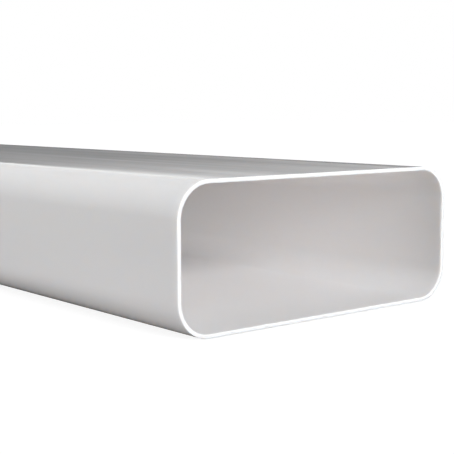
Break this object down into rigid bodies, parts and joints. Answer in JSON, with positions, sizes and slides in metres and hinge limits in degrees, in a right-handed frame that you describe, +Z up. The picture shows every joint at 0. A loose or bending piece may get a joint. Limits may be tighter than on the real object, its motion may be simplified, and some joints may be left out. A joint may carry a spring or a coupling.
{
  "type": "flat channel duct",
  "caption": "Straight length of flat rectangular plastic ventilation duct with rounded corners, an even thin wall and square-cut open ends, for carrying air in tight spaces.",
  "frame": {"origin": "middle of the wide underside that the duct lies on, halfway across its width and halfway along its length", "axes": "+X across the width, +Y along the airway, +Z up from the underside"},
  "size_m": [0.222, 1, 0.089],
  "materials": {
    "white_pvc": "satin"
  },
  "bodies": {
    "root": {"channel_duct": "white_pvc"}
  },
  "joints": []
}
